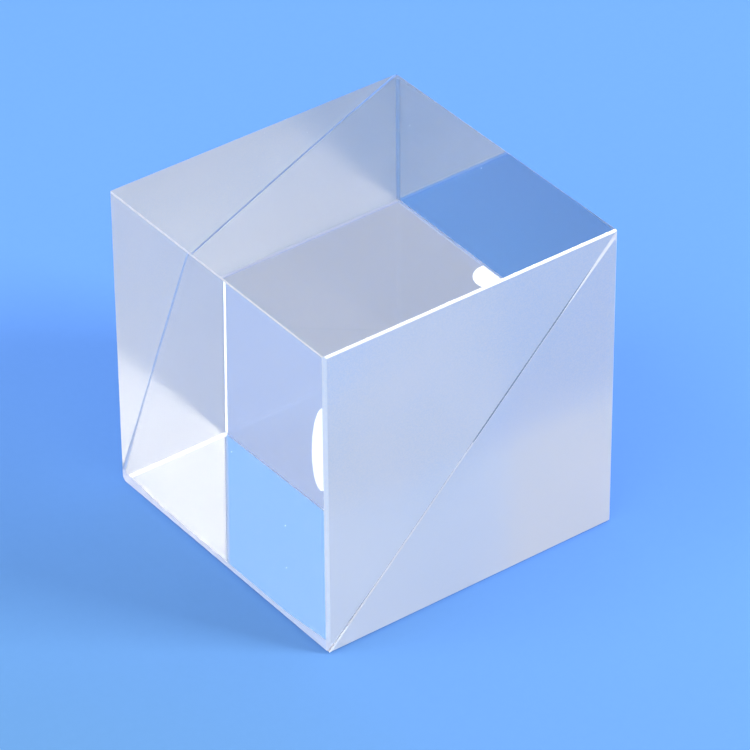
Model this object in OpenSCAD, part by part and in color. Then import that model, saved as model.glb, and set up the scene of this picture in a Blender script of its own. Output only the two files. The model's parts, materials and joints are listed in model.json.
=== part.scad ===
// Cube beamsplitter: two equal right-angle prisms, cemented long face to long
// face, with a thin beam-splitting film on the upper one. Light that enters a
// polished face is partly passed and partly turned through 90 degrees there.
//
// Millimetres. The origin is the centre of the base, with +Z up. The joint
// rises along +X, and the two ground ends face -Y and +Y.

/* [Cube] */
// Side of the finished cube
side = 25.4; // [12:0.1:50.8]

/* [Prism bevels] */
// Bevel leg between the ground ends and the upright polished face
upright_bevel = 0.25; // [0.05:0.05:0.6]
// Bevel leg between the ground ends and the level polished face
level_bevel = 0.15; // [0.05:0.05:0.6]
// Bevel leg on the right-angle edge, between the two polished faces
roof_bevel = 0.1; // [0.05:0.05:0.6]

/* [Acute tips] */
// How far the blunt tip of each prism is cut back, measured on its polished face
blunt_tip = 0.7; // [0.65:0.05:1.6]
// How much further the blunt tip is cut back at each ground end
tip_flare = 0.5; // [0.1:0.05:1]
// Length of edge over which that runs out
tip_flare_run = 5; // [2:0.5:10]
// How far the sharp tip of each prism is cut back, measured on its polished face
sharp_tip = 0.25; // [0.1:0.05:0.6]

/* [Joint] */
// Thickness of the beam-splitting film
film_t = 0.005; // [0.002:0.001:0.02]
// Thickness of the optical cement
cement_t = 0.02; // [0.01:0.005:0.1]
// Bevel leg between the ground ends and the long face, which leaves a fine groove
groove_leg = 0.08; // [0.04:0.01:0.2]
// Bevel leg that the groove widens to at the blunt tip
groove_end_leg = 0.25; // [0.21:0.01:0.5]
// Length of joint over which the wide end of the groove runs out
groove_run = 10; // [4:0.5:14]

/* [Wear] */
// Radius of the worn corner, at the back of the foot edge
worn_corner_r = 1.3; // [0.5:0.1:2.5]

/* [Hidden] */
$fn = 96;
half = side / 2;
joint_t = film_t + cement_t;
// Distances along the joint from its middle to the blunt and to the sharp tips
blunt_end = (side - blunt_tip) / sqrt(2);
sharp_end = (side - sharp_tip) / sqrt(2);
// Every cutter reaches this far past what it cuts
reach = 2 * side;

// Places a child, drawn about the cube's centre, in the standing cube.
module standing() {
    translate([0, 0, half]) children();
}

// Turns a child so that its X runs up the joint and its Z is square to it.
module along_joint() {
    rotate([0, -45, 0]) children();
}

// The lower prism is the upper one, turned half round.
module turned() {
    rotate([0, 180, 0]) children();
}

// Bar that takes a bevel of this leg off an edge along X.
module edge_cutter(leg) {
    rotate([45, 0, 0]) cube([reach, leg * sqrt(2), leg * sqrt(2)], center = true);
}

// Everything above the plane Z = 0, as far as it matters.
module space_above() {
    translate([-reach, -reach, 0]) cube([2 * reach, 2 * reach, reach]);
}

// Flat layer along the joint, between two heights, as wide as the cube.
module layer(bottom, top) {
    translate([-reach, -half, bottom]) cube([2 * reach, side, top - bottom]);
}

// Cuts, in the frame of along_joint, that bevel the long face of the upper
// prism at one ground end. The bevel widens towards the blunt tip.
module groove_cutter() {
    run_angle = atan(groove_end_leg / sqrt(2) / groove_run);
    intersection() {
        translate([0, -half, joint_t / 2]) {
            edge_cutter(groove_leg);
            translate([groove_run - blunt_end, 0, 0])
                rotate([135, 0, 0]) rotate([0, -run_angle, 0]) space_above();
        }
        translate([0, 0, -joint_t]) space_above();
    }
}

// The same at both ground ends.
module groove_cutters() {
    for (end = [0, 1]) mirror([0, end, 0]) groove_cutter();
}

// Cut, in the frame of along_joint, that takes off the sharp tip.
module sharp_cut() {
    translate([sharp_end, 0, 0]) rotate([0, 90, 0]) space_above();
}

// Cuts, in the same frame, that take off the blunt tip, and more of it at the
// ground ends than between them.
module blunt_cuts() {
    flare_angle = atan(tip_flare / sqrt(2) / tip_flare_run);
    translate([-blunt_end, 0, 0]) rotate([0, -90, 0]) space_above();
    for (end = [0, 1]) mirror([0, end, 0])
        translate([-blunt_end, tip_flare_run - half, 0])
            rotate([0, 0, flare_angle]) rotate([0, -90, 0]) space_above();
}

// Bevels on the outer edges of the upper prism.
module bevel_cutters() {
    for (end = [-half, half]) {
        translate([-half, end, 0]) rotate([0, 90, 0]) edge_cutter(upright_bevel);
        translate([0, end, half]) edge_cutter(level_bevel);
    }
    translate([-half, 0, half]) rotate([0, 0, 90]) edge_cutter(roof_bevel);
}

// One right-angle prism, in the upper place. Both prisms are this same blank.
module prism_blank() {
    difference() {
        cube(side, center = true);
        bevel_cutters();
        along_joint() {
            translate([0, 0, joint_t / 2]) mirror([0, 0, 1]) space_above();
            sharp_cut();
            blunt_cuts();
            groove_cutters();
        }
    }
}

// The film covers the long face of the upper prism, from tip to tip.
module film_sheet() {
    along_joint() difference() {
        layer(joint_t / 2 - film_t, joint_t / 2);
        sharp_cut();
        blunt_cuts();
        groove_cutters();
        turned() groove_cutters();
    }
}

// Room above a height that the upper prism and its film take up.
module upper_place(height) {
    difference() {
        translate([0, 0, height]) space_above();
        blunt_cuts();
    }
}

// The cement lies between the film and the lower prism, and fills the notch
// that each blunt tip leaves, flush with the outer face.
module cement_body() {
    difference() {
        cube(side, center = true);
        bevel_cutters();
        turned() bevel_cutters();
        along_joint() {
            upper_place(joint_t / 2 - film_t);
            sharp_cut();
            groove_cutters();
            turned() {
                upper_place(joint_t / 2);
                sharp_cut();
                groove_cutters();
            }
        }
    }
}

// Rounds the back corner of the foot edge, as wear does: on each outer face it
// is an arc of the radius, which runs into both edges.
module worn_corner() {
    r = worn_corner_r;
    difference() {
        children();
        difference() {
            translate([-half - side, half - r, -half - side])
                cube([side + r, side + r, side + r]);
            translate([-half + r, half - r, -half + r]) sphere(sqrt(2) * r);
        }
    }
}

module upper_prism() {
    color("lightsteelblue", 0.5) standing() worn_corner() prism_blank();
}

module splitter_film() {
    color("lavender", 0.6) standing() worn_corner() film_sheet();
}

module cement_layer() {
    color("aliceblue", 0.6) standing() worn_corner() cement_body();
}

module lower_prism() {
    color("lightsteelblue", 0.5) standing() worn_corner() turned() prism_blank();
}

upper_prism();
splitter_film();
cement_layer();
lower_prism();
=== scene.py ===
import json
from math import pi, sqrt

import bpy
from mathutils import Matrix, Vector

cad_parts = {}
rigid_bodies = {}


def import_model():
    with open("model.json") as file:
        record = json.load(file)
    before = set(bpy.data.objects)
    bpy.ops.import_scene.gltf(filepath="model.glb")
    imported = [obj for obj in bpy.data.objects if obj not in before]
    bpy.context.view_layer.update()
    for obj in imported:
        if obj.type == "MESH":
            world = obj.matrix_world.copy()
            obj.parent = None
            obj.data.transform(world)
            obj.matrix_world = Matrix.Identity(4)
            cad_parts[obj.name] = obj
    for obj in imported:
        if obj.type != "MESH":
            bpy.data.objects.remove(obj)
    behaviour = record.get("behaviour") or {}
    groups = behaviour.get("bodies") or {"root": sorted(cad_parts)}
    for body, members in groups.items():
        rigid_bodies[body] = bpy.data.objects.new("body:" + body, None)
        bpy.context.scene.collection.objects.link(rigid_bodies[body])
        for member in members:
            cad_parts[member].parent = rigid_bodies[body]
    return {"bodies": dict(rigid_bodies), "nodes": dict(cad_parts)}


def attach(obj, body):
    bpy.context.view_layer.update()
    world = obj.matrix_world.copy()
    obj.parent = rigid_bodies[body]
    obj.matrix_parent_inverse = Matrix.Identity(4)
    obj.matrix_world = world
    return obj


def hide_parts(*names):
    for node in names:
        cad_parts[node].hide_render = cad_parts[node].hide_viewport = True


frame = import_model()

for spare in set(bpy.data.objects) - set(frame["nodes"].values()) - set(frame["bodies"].values()):
    bpy.data.objects.remove(spare)
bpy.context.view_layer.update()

# The cube's own sizes, in millimetres, as the solids have them
HALF = 12.7
UPRIGHT_BEVEL = 0.25
LEVEL_BEVEL = 0.15
ROOF_BEVEL = 0.1
BLUNT_TIP = 0.7
TIP_FLARE = 0.5
TIP_FLARE_RUN = 5.0
SHARP_TIP = 0.25
GROOVE_LEG = 0.08
WORN_CUT = 1.1
# Distances along the joint from its middle to the blunt and to the sharp tips
ROOT_HALF = sqrt(0.5)
BLUNT_END = (2.0 * HALF - BLUNT_TIP) * ROOT_HALF
SHARP_END = (2.0 * HALF - SHARP_TIP) * ROOT_HALF
# Heights above the joint's middle plane of the prism's long face and of the film's middle
LONG_FACE = 0.0125
FILM_MIDDLE = 0.01
# The drawn film is this thick, and stays this far inside the edges of its solid
FILM_DRAWN = 0.003
FILM_INSET = 0.01
# Within this distance of a plane, a point counts as lying on it
ON_PLANE = 0.002

# Finishes
CROWN_INDEX = 1.517
CEMENT_INDEX = 1.5
CLEAR = (1.0, 1.0, 1.0, 1.0)

# One millimetre, in the metres that the scene is drawn in
MM = 0.001
CUBE_MIDDLE = Vector((0.0, 0.0, HALF * MM))


class Number:
    """A number worked out at each point of a surface, held by a socket."""

    def __init__(self, tree, socket):
        self.tree, self.socket = tree, socket

    def math(self, operation, first, second=0.0):
        return self.tree.node("ShaderNodeMath", {"operation": operation}, {0: first, 1: second})

    def __add__(self, other):
        return self.math("ADD", self, other)

    def __sub__(self, other):
        return self.math("SUBTRACT", self, other)

    def __mul__(self, other):
        return self.math("MULTIPLY", self, other)

    def __truediv__(self, other):
        return self.math("DIVIDE", self, other)

    def __rsub__(self, other):
        return self.math("SUBTRACT", other, self)

    def __abs__(self):
        return self.math("ABSOLUTE", self)

    def __gt__(self, other):
        return self.math("GREATER_THAN", self, other)

    def __lt__(self, other):
        return self.math("LESS_THAN", self, other)

    def least(self, other):
        return self.math("MINIMUM", self, other)

    def most(self, other):
        return self.math("MAXIMUM", self, other)

    def step(self, start, end):
        """0 below start and 1 above end, with a smooth rise between them."""
        return self.tree.node(
            "ShaderNodeMapRange",
            {"interpolation_type": "SMOOTHSTEP"},
            {"Value": self, "From Min": start, "From Max": end},
        )


class Tree:
    """The nodes of one material, or of the world."""

    def __init__(self, tree):
        self.tree = tree
        tree.nodes.clear()

    def node(self, kind, settings=None, values=None, output=0):
        made = self.tree.nodes.new(kind)
        for name, value in (settings or {}).items():
            setattr(made, name, value)
        for name, value in (values or {}).items():
            if isinstance(value, Number):
                self.tree.links.new(value.socket, made.inputs[name])
            else:
                made.inputs[name].default_value = value
        return Number(self, made.outputs[output]) if made.outputs else made

    def place(self):
        """The point in millimetres, as a vector and as x, y and the height above mid-cube."""
        point = self.node("ShaderNodeTexCoord", output="Object")
        point = self.node("ShaderNodeVectorMath", {"operation": "SCALE"}, {0: point, "Scale": 1.0 / MM})
        apart = [self.node("ShaderNodeSeparateXYZ", None, {0: point}, axis) for axis in "XYZ"]
        return point, apart[0], apart[1], apart[2] - HALF

    def noise(self, point, scale, detail=2.0, roughness=0.5):
        return self.node(
            "ShaderNodeTexNoise",
            None,
            {"Vector": point, "Scale": scale, "Detail": detail, "Roughness": roughness},
        )

    def blend(self, factor, first, second):
        """A colour between two colours."""
        return self.node("ShaderNodeMix", {"data_type": "RGBA"}, {0: factor, 6: first, 7: second}, 2)

    def bump(self, height, distance, strength):
        return self.node(
            "ShaderNodeBump", None, {"Height": height, "Distance": distance, "Strength": strength}
        )

    def mix(self, factor, first, second):
        """A finish between two finishes."""
        return self.node("ShaderNodeMixShader", None, {0: factor, 1: first, 2: second})

    def clear(self, colour):
        return self.node("ShaderNodeBsdfTransparent", None, {"Color": colour})

    def finish(self, surface, kind="ShaderNodeOutputMaterial"):
        self.node(kind, None, {"Surface": surface})


def material(name):
    made = bpy.data.materials.new(name)
    made.use_nodes = True
    return made, Tree(made.node_tree)


def dress(node, finish):
    """Gives a solid its finish in place of the plain one."""
    slots = frame["nodes"][node].data.materials
    slots.clear()
    slots.append(finish)


def polished_glass(tree, point):
    """Clear crown glass, with faint wipe marks and a few specks of dust."""
    wiped = tree.noise(point, 0.35, 3.0).step(0.55, 0.8)
    specks = tree.node("ShaderNodeTexVoronoi", None, {"Vector": point, "Scale": 0.9}, "Distance")
    specks = (specks < 0.03) * tree.noise(point, 0.5).step(0.5, 0.6)
    return tree.node(
        "ShaderNodeBsdfPrincipled",
        None,
        {
            "Base Color": tree.blend(specks, (0.997, 1.0, 1.0, 1.0), (0.8, 0.82, 0.85, 1.0)),
            "Roughness": wiped * 0.012 + specks * 0.5,
            "IOR": CROWN_INDEX,
            "Transmission Weight": 1.0,
        },
    )


def ground_glass(tree, point, clearness, brightness, painted_shade=0.0):
    """Finely ground glass: a white, close grain over slow changes of tone, with painted shade that makes it
    duller where the painted shade given to it is more.
    """
    grain = tree.noise(point, 9.0, 4.0, 0.7)
    slow = tree.noise(point, 0.09, 2.0) * 0.5 + 0.25 - painted_shade
    dull, fair, white = (
        tuple(brightness * part for part in colour) + (1.0,)
        for colour in ((0.78, 0.89, 1.0), (0.99, 0.99, 1.0), (0.98, 0.99, 1.0))
    )
    return tree.node(
        "ShaderNodeBsdfPrincipled",
        None,
        {
            "Base Color": tree.blend(
                grain.step(0.3, 0.7), tree.blend(slow.step(0.35, 0.65), dull, fair), white
            ),
            "Roughness": grain * 0.06 + 0.28,
            "IOR": CROWN_INDEX,
            "Transmission Weight": clearness,
            "Normal": tree.bump(grain, 0.00001, 0.2),
        },
    )


def tip_flare(end):
    """How much further the blunt tips are cut back here, at this distance from a ground end."""
    return (1.0 - end / TIP_FLARE_RUN).most(0.0) * TIP_FLARE


def rim_distance(out, up, end):
    """How far a point of a polished face lies inside the bevels and tips around that face."""
    upright = out < ON_PLANE - HALF
    upright_rim = (end - UPRIGHT_BEVEL).least(HALF - ROOF_BEVEL - up)
    upright_rim = upright_rim.least(up + HALF - BLUNT_TIP - tip_flare(end))
    level_rim = (end - LEVEL_BEVEL).least(out + HALF - ROOF_BEVEL).least(HALF - SHARP_TIP - out)
    return upright * upright_rim + (1.0 - upright) * level_rim


def ground_finishes(tree, point, x, z, end):
    """Ground glass seen from outside, of the ends and the bevels, with painted shade on the ends and on the
    top bevels to the left, and the ends' own finish.
    """
    # Painted shade: the ends turn duller and darker towards the top of the cube, and a little towards its
    # right
    ends = ground_glass(tree, point, 0.6, 0.79, (z * 0.8 + x * 0.2) / 70.0)
    bevels = ground_glass(tree, point, 0.3, 0.95)
    # Painted shade: towards the left, the top bevels take half the dimmer finish of the ends, so their
    # glint fades there
    painted_fade = (3.0 - x).step(0.0, 8.0) * 0.5 * (z > HALF - LEVEL_BEVEL)
    return tree.mix(end > ON_PLANE, ends, tree.mix(painted_fade, bevels, ends)), ends


def ground_painted_lit_inside(tree, point, end):
    """Ground glass seen through the prism: lighter copies of the ground finishes, painted light where a
    ground face is seen from inside, with the ends painted less bright than the bevels.
    """
    ends, bevels = ground_glass(tree, point, 0.35, 0.98), ground_glass(tree, point, 0.9, 1.0)
    return tree.mix(end > ON_PLANE, ends, bevels)


def prism_glass(name, side):
    """Glass of a prism. Side is 1 for the upper one, and -1 for the lower one, turned half round."""
    made, tree = material(name)
    point, x, y, z = tree.place()
    out, up, end = x * side, z * side, HALF - abs(y)
    depth, along = (up - out) * ROOT_HALF, (up + out) * ROOT_HALF
    inside = tree.node("ShaderNodeNewGeometry", output="Backfacing")
    outer, ends = ground_finishes(tree, point, x, z, end)
    # Painted light: a ground face seen from inside takes a lighter copy of its finish
    painted_lit_inside = ground_painted_lit_inside(tree, point, end)

    # Polished faces, chipped along their bevels
    polished = (abs(x).most(abs(z))) > HALF - ON_PLANE
    chips = rim_distance(out, up, end) < (tree.noise(point, 1.7, 4.0, 0.65) - 0.62) * 0.25
    glass = tree.mix(polished * (1.0 - chips), tree.mix(inside, outer, painted_lit_inside), polished_glass(tree, point))

    # The groove along the joint: painted shade in its lower front half, and as pale as the ends elsewhere
    low = (end > ON_PLANE) * (1.0 - polished) * (depth < 0.3)
    shade = low * (depth < 0.075) * (y < 0.0) * (z + x).step(-2.0, 1.0)
    healed = low * (z + x < 0.0).most(y > 0.0) * (z + x > -22.0)
    glass = tree.mix(shade, glass, painted_groove_shade(tree, point))
    glass = tree.mix(healed, glass, tree.mix(inside, ends, painted_lit_inside))

    # The long face and the blunt tip are cemented, so neither shows
    blunt = along + BLUNT_END - tip_flare(end) * ROOT_HALF < ON_PLANE
    bonded = (depth < LONG_FACE + ON_PLANE).most(blunt)
    tree.finish(tree.mix(bonded, glass, tree.clear(CLEAR)))
    return made


def painted_groove_shade(tree, point):
    """Painted shade: a dark colour in the bottom of the fine groove along the joint."""
    return tree.node(
        "ShaderNodeBsdfPrincipled",
        None,
        {
            "Base Color": tree.blend(
                tree.noise(point, 0.5), (0.10, 0.16, 0.24, 1.0), (0.25, 0.33, 0.45, 1.0)
            ),
            "Roughness": 0.8,
        },
    )


def splitting_film():
    """Film that sends back nearly half the light and passes nearly half."""
    made, tree = material("splitting_film")
    point, x, y, z = tree.place()
    tint = tree.noise(point, 0.06, 1.0).step(0.3, 0.7)
    passed = tree.node(
        "ShaderNodeBsdfTransparent",
        None,
        {"Color": tree.blend(tint, (0.97, 0.96, 0.95, 1.0), (0.98, 0.97, 0.96, 1.0))},
    )
    sent = tree.node(
        "ShaderNodeBsdfGlossy",
        None,
        {
            "Color": tree.blend(tint, (0.95, 0.96, 0.97, 1.0), (0.96, 0.97, 0.98, 1.0)),
            "Roughness": 0.0,
        },
    )
    coated = (z - x) * ROOT_HALF > FILM_MIDDLE
    tree.finish(tree.mix(coated, tree.clear(CLEAR), tree.mix(0.5, passed, sent)))
    return made


def film_sheet():
    """The film as a sheet a micrometre inside its solid, clear of the glass on both sides."""
    bpy.ops.object.select_all(action="DESELECT")
    bpy.ops.mesh.primitive_cube_add(size=MM, location=(0, 0, 0), rotation=(0, -pi / 4.0, 0))
    made = bpy.context.object
    made.name = "film_sheet"
    width = 2.0 * (HALF - GROOVE_LEG - FILM_INSET)
    made.scale = (2.0 * (SHARP_END - FILM_INSET), width, FILM_DRAWN)
    bpy.ops.object.transform_apply(location=False, rotation=False, scale=True)
    made.location = CUBE_MIDDLE + Vector((-1.0, 0.0, 1.0)) * FILM_MIDDLE * ROOT_HALF * MM
    bpy.ops.object.transform_apply(location=True, rotation=True, scale=True)
    bpy.ops.object.mode_set(mode="EDIT")
    for place, way in film_cuts():
        bpy.ops.mesh.select_all(action="SELECT")
        bpy.ops.mesh.bisect(plane_co=place, plane_no=way, use_fill=True, clear_outer=True, threshold=1e-8)
    bpy.ops.mesh.select_all(action="SELECT")
    bpy.ops.mesh.normals_make_consistent(inside=False)
    bpy.ops.object.mode_set(mode="OBJECT")
    return made


def film_cuts():
    """Planes that cut the sheet back to the film's blunt end, its flares and the worn corner."""
    along, back = Vector((ROOT_HALF, 0.0, ROOT_HALF)), Vector((0.0, 1.0, 0.0))
    blunt = Vector((0.0, 0.0, HALF)) - along * (BLUNT_END - FILM_INSET)
    slope = TIP_FLARE * ROOT_HALF / TIP_FLARE_RUN
    cuts = [(blunt, -along)]
    for side in (-1.0, 1.0):
        cuts.append((blunt + back * side * (HALF - TIP_FLARE_RUN), back * side * slope - along))
    cuts.append((blunt + back * HALF + along * WORN_CUT, back - along))
    return [(place * MM, way) for place, way in cuts]


def optical_cement():
    """Water-clear cement, cloudy where it fills the notches at the tips."""
    made, tree = material("optical_cement")
    point, x, y, z = tree.place()
    depth, along = abs(z - x) * ROOT_HALF, abs(z + x) * ROOT_HALF
    end = HALF - abs(y)
    outer = (abs(x).most(abs(z)) > HALF - ON_PLANE).most(end < UPRIGHT_BEVEL)
    outer = outer.most(along > SHARP_END - ON_PLANE) * (depth > LONG_FACE + ON_PLANE)
    cloud = tree.node(
        "ShaderNodeBsdfPrincipled",
        None,
        {
            "Base Color": tree.blend(
                tree.noise(point, 2.0, 3.0), (0.86, 0.87, 0.92, 1.0), (0.95, 0.94, 0.97, 1.0)
            ),
            "Roughness": 0.35,
            "IOR": CEMENT_INDEX,
            "Transmission Weight": 0.35,
        },
    )
    tree.finish(tree.mix(outer, tree.clear((0.995, 0.997, 1.0, 1.0)), cloud))
    return made


def sheet(name, size, height):
    """Flat stage sheet, centred under the cube."""
    bpy.ops.object.select_all(action="DESELECT")
    bpy.ops.mesh.primitive_plane_add(size=size, location=(0, 0, height))
    made = bpy.context.object
    made.name = name
    bpy.ops.object.transform_apply(location=True, rotation=True, scale=True)
    return made


def floor_paper():
    """Matt paper in a pale sky blue, with painted shade that darkens it to the left."""
    made, tree = material("floor_paper")
    point, x, y, z = tree.place()
    fibre = tree.noise(point, 1.5, 3.0)
    colour = tree.blend(fibre, (0.150, 0.350, 0.84, 1.0), (0.157, 0.360, 0.86, 1.0))
    # Painted shade: the paper turns darker towards the left and front
    painted_shade_colour = tree.blend(fibre, (0.126, 0.300, 0.57, 1.0), (0.132, 0.310, 0.59, 1.0))
    colour = tree.blend((x + y * 0.4).step(-50.0, 20.0), painted_shade_colour, colour)
    tree.finish(tree.node("ShaderNodeBsdfDiffuse", None, {"Color": colour}))
    return made


def surroundings():
    """Soft room light: pale blue at the back, warm white at the back left, near white elsewhere."""
    world = bpy.data.worlds.new("surroundings")
    bpy.context.scene.world = world
    world.use_nodes = True
    tree = Tree(world.node_tree)
    way = tree.node("ShaderNodeTexCoord", output="Generated")

    def towards(axis):
        """1 towards the axis, 0 square to it and less beyond."""
        return tree.node("ShaderNodeVectorMath", {"operation": "DOT_PRODUCT"}, {0: way, 1: axis}, "Value")

    back = towards((0.67, 0.74, 0.0)).step(0.35, 0.7)
    above = towards((0.0, 0.0, 1.0)).step(0.55, 0.95)
    back_left = towards((-0.59, 0.65, 0.48)).step(0.9, 0.95) * 0.9
    colour = tree.blend(back, (0.84, 0.81, 0.80, 1.0), (0.32, 0.63, 1.20, 1.0))
    colour = tree.blend(above, colour, (0.82, 0.83, 0.92, 1.0))
    colour = tree.blend(back_left, colour, (0.84, 0.80, 0.72, 1.0))
    tree.finish(
        tree.node("ShaderNodeBackground", None, {"Color": colour, "Strength": 1.0}),
        "ShaderNodeOutputWorld",
    )


def area_lamp(name, shape, size, radiance, colour):
    """Lamp that shines as brightly as the radiance over its whole area. Size is its width and height."""
    data = bpy.data.lights.new(name, "AREA")
    data.shape, data.size, data.color = shape, size[0], colour
    data.energy = radiance * pi * size[0] * size[1]
    if shape == "ELLIPSE":
        data.size_y = size[1]
        data.energy *= pi / 4.0
    made = bpy.data.objects.new(name, data)
    bpy.context.scene.collection.objects.link(made)
    return made


def soft_lamp(name, towards, distance, size, radiance, colour):
    """Square soft lamp that faces the cube, from the side that the vector points to."""
    lamp = area_lamp(name, "SQUARE", (size, size), radiance, colour)
    way = Vector(towards).normalized()
    lamp.location = way * distance + CUBE_MIDDLE
    lamp.rotation_euler = way.to_track_quat("Z", "Y").to_euler()


def small_lamp(name, place, size, upwards, radiance, colour):
    """Small oval lamp that stands at a place in the room and faces the cube."""
    lamp = area_lamp(name, "ELLIPSE", size, radiance, colour)
    way = (Vector(place) - CUBE_MIDDLE).normalized()
    side = Vector(upwards).cross(way).normalized()
    turn = Matrix((side, way.cross(side), way)).transposed().to_4x4()
    lamp.matrix_world = Matrix.Translation(Vector(place)) @ turn


def camera():
    """Long lens, from the front left and above."""
    data = bpy.data.cameras.new("camera")
    data.sensor_width, data.lens = 36.0, CAMERA_LENS
    data.clip_start, data.clip_end = 0.01, 20.0
    made = bpy.data.objects.new("camera", data)
    bpy.context.scene.collection.objects.link(made)
    right, up, forward = Vector(CAMERA_RIGHT), Vector(CAMERA_UP), Vector(CAMERA_FORWARD)
    turn = Matrix((right, up, -forward)).transposed().to_4x4()
    made.matrix_world = Matrix.Translation(Vector(CAMERA_PLACE)) @ turn
    bpy.context.scene.camera = made


# The camera's place, in metres, its lens, in millimetres, and its axes
CAMERA_PLACE = (-0.173283, -0.234533, 0.221724)
CAMERA_LENS = 242.45
CAMERA_RIGHT = (0.79995, -0.60003, -0.00624)
CAMERA_UP = (0.35531, 0.46527, 0.81073)
CAMERA_FORWARD = (0.48356, 0.65076, -0.58539)
# Metres from the cube to each soft lamp, and the way up on the small oval ones
LAMP_DISTANCE = 0.7
OVAL_UPWARDS = (0.81, 0.47, 0.36)
# Side of the floor, and its height a little under the cube, in metres
FLOOR_SIZE = 3.0
FLOOR_HEIGHT = -0.0001
# Light crosses many faces in the cube before it leaves
GLASS_BOUNCES = 28

camera()
surroundings()
soft_lamp("key_lamp", (0.5, -0.62, 0.6), LAMP_DISTANCE, 0.22, 21.0, (1.0, 0.98, 0.95))
soft_lamp("left_lamp", (-0.75, -0.5, 0.45), LAMP_DISTANCE, 0.6, 1.1, (1.0, 0.98, 0.95))
soft_lamp("high_lamp", (-0.586, 0.198, 0.786), LAMP_DISTANCE, 0.28, 4.0, (1.0, 0.98, 0.96))
small_lamp("strip_lamp", (-1.799, 1.951, 1.435), (0.014, 0.055), OVAL_UPWARDS, 1.6, (1.0, 1.0, 0.98))
small_lamp("spot_lamp", (-1.721, 1.938, 1.551), (0.025, 0.016), OVAL_UPWARDS, 2.0, (1.0, 0.96, 0.88))
floor = sheet("floor", FLOOR_SIZE, FLOOR_HEIGHT)
floor.data.materials.append(floor_paper())

dress("upper_prism", prism_glass("upper_prism_glass", 1))
dress("lower_prism", prism_glass("lower_prism_glass", -1))
film = film_sheet()
film.data.materials.append(splitting_film())
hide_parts("splitter_film")
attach(film, "root")
dress("cement_layer", optical_cement())

scene = bpy.context.scene
scene.view_settings.view_transform = "Standard"
scene.cycles.max_bounces = GLASS_BOUNCES
scene.cycles.transmission_bounces = GLASS_BOUNCES
scene.cycles.glossy_bounces = 20
scene.cycles.diffuse_bounces = 5
scene.cycles.transparent_max_bounces = 128
